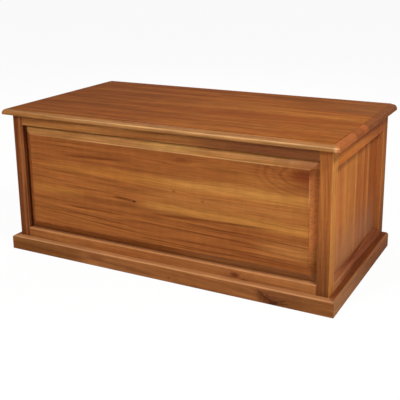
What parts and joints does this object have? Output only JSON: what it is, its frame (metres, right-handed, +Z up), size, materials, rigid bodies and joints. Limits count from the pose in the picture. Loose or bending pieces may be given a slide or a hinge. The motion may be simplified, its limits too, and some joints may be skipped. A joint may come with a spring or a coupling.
{
  "type": "blanket chest",
  "caption": "Low timber storage chest with a framed front with a raised panel, boarded sides, a mitred plinth and a hinged moulded lid held by folding stays.",
  "frame": {"origin": "on the floor, under the middle of the chest's bounding box", "axes": "+X to the right of somebody who faces the chest, +Y to its back, +Z up"},
  "size_m": [1.174, 0.6184, 0.502],
  "materials": {
    "post_front_left": "clear satin lacquer",
    "post_rear_left": "clear satin lacquer",
    "post_front_right": "clear satin lacquer",
    "post_rear_right": "clear satin lacquer",
    "rail_front_top": "clear satin lacquer",
    "rail_front_bottom": "clear satin lacquer",
    "rail_rear_top": "clear satin lacquer",
    "rail_rear_bottom": "clear satin lacquer",
    "rail_left_top": "clear satin lacquer",
    "rail_left_bottom": "clear satin lacquer",
    "rail_right_top": "clear satin lacquer",
    "rail_right_bottom": "clear satin lacquer",
    "panel_front_raised": "clear satin lacquer",
    "panel_rear": "clear sealed plywood",
    "side_board_left_1": "clear satin lacquer",
    "side_board_left_2": "clear satin lacquer",
    "side_board_left_3": "clear satin lacquer",
    "side_board_left_4": "clear satin lacquer",
    "side_board_right_1": "clear satin lacquer",
    "side_board_right_2": "clear satin lacquer",
    "side_board_right_3": "clear satin lacquer",
    "side_board_right_4": "clear satin lacquer",
    "plinth_front": "clear satin lacquer",
    "plinth_left": "clear satin lacquer",
    "plinth_right": "clear satin lacquer",
    "floor_sheet": "clear sealed plywood",
    "cleat_front": "clear satin lacquer",
    "cleat_rear": "clear satin lacquer",
    "cleat_left": "clear satin lacquer",
    "cleat_right": "clear satin lacquer",
    "lid_board_1": "clear satin lacquer",
    "lid_board_2": "clear satin lacquer",
    "lid_board_3": "clear satin lacquer",
    "lid_board_4": "clear satin lacquer",
    "lid_board_5": "clear satin lacquer",
    "lid_batten_left": "clear satin lacquer",
    "lid_batten_right": "clear satin lacquer",
    "hinge_left_box_leaf": "satin",
    "hinge_left_lid_leaf": "satin",
    "hinge_left_pin": "satin",
    "hinge_right_box_leaf": "satin",
    "hinge_right_lid_leaf": "satin",
    "hinge_right_pin": "satin",
    "stay_left_box_plate": "satin",
    "stay_left_lower_arm": "satin",
    "stay_left_upper_arm": "satin",
    "stay_left_lid_bracket": "satin",
    "stay_left_box_rivet": "satin",
    "stay_left_elbow_rivet": "satin",
    "stay_left_lid_rivet": "satin",
    "stay_right_box_plate": "satin",
    "stay_right_lower_arm": "satin",
    "stay_right_upper_arm": "satin",
    "stay_right_lid_bracket": "satin",
    "stay_right_box_rivet": "satin",
    "stay_right_elbow_rivet": "satin",
    "stay_right_lid_rivet": "satin"
  },
  "bodies": {
    "box": {"post_front_left": "post_front_left", "post_rear_left": "post_rear_left", "post_front_right": "post_front_right", "post_rear_right": "post_rear_right", "rail_front_top": "rail_front_top", "rail_front_bottom": "rail_front_bottom", "rail_rear_top": "rail_rear_top", "rail_rear_bottom": "rail_rear_bottom", "rail_left_top": "rail_left_top", "rail_left_bottom": "rail_left_bottom", "rail_right_top": "rail_right_top", "rail_right_bottom": "rail_right_bottom", "panel_front_raised": "panel_front_raised", "panel_rear": "panel_rear", "side_board_left_1": "side_board_left_1", "side_board_left_2": "side_board_left_2", "side_board_left_3": "side_board_left_3", "side_board_left_4": "side_board_left_4", "side_board_right_1": "side_board_right_1", "side_board_right_2": "side_board_right_2", "side_board_right_3": "side_board_right_3", "side_board_right_4": "side_board_right_4", "plinth_front": "plinth_front", "plinth_left": "plinth_left", "plinth_right": "plinth_right", "floor_sheet": "floor_sheet", "cleat_front": "cleat_front", "cleat_rear": "cleat_rear", "cleat_left": "cleat_left", "cleat_right": "cleat_right", "hinge_left_box_leaf": "hinge_left_box_leaf", "hinge_left_pin": "hinge_left_pin", "hinge_right_box_leaf": "hinge_right_box_leaf", "hinge_right_pin": "hinge_right_pin", "stay_left_box_plate": "stay_left_box_plate", "stay_left_box_rivet": "stay_left_box_rivet", "stay_right_box_plate": "stay_right_box_plate", "stay_right_box_rivet": "stay_right_box_rivet"},
    "lid": {"lid_board_1": "lid_board_1", "lid_board_2": "lid_board_2", "lid_board_3": "lid_board_3", "lid_board_4": "lid_board_4", "lid_board_5": "lid_board_5", "lid_batten_left": "lid_batten_left", "lid_batten_right": "lid_batten_right", "hinge_left_lid_leaf": "hinge_left_lid_leaf", "hinge_right_lid_leaf": "hinge_right_lid_leaf", "stay_left_lid_bracket": "stay_left_lid_bracket", "stay_left_lid_rivet": "stay_left_lid_rivet", "stay_right_lid_bracket": "stay_right_lid_bracket", "stay_right_lid_rivet": "stay_right_lid_rivet"},
    "stay_left_lower": {"stay_left_lower_arm": "stay_left_lower_arm", "stay_left_elbow_rivet": "stay_left_elbow_rivet"},
    "stay_left_upper": {"stay_left_upper_arm": "stay_left_upper_arm"},
    "stay_right_lower": {"stay_right_lower_arm": "stay_right_lower_arm", "stay_right_elbow_rivet": "stay_right_elbow_rivet"},
    "stay_right_upper": {"stay_right_upper_arm": "stay_right_upper_arm"}
  },
  "joints": [
    {"name": "lid_hinge", "type": "hinge", "parent": "box", "child": "lid", "pos_m": [0, 0.29985, 0.4805], "axis": [-1, 0, 0], "range_deg": [0, 95]},
    {"name": "stay_left_box_pivot", "type": "hinge", "parent": "box", "child": "stay_left_lower", "pos_m": [-0.51, 0.26115, 0.2925], "axis": [-1, 0, 0], "range_deg": [0, 95]},
    {"name": "stay_left_elbow", "type": "hinge", "parent": "stay_left_lower", "child": "stay_left_upper", "pos_m": [-0.508, 0.07115, 0.2761], "axis": [-1, 0, 0], "range_deg": [-95, 0]},
    {"name": "stay_right_box_pivot", "type": "hinge", "parent": "box", "child": "stay_right_lower", "pos_m": [0.51, 0.26115, 0.2925], "axis": [-1, 0, 0], "range_deg": [0, 95]},
    {"name": "stay_right_elbow", "type": "hinge", "parent": "stay_right_lower", "child": "stay_right_upper", "pos_m": [0.508, 0.07115, 0.2761], "axis": [-1, 0, 0], "range_deg": [-95, 0]}
  ],
  "couplings": [
    {"joint": "stay_left_box_pivot", "follows": "lid_hinge", "ratio": 1},
    {"joint": "stay_left_elbow", "follows": "lid_hinge", "ratio": -1},
    {"joint": "stay_right_box_pivot", "follows": "lid_hinge", "ratio": 1},
    {"joint": "stay_right_elbow", "follows": "lid_hinge", "ratio": -1}
  ]
}
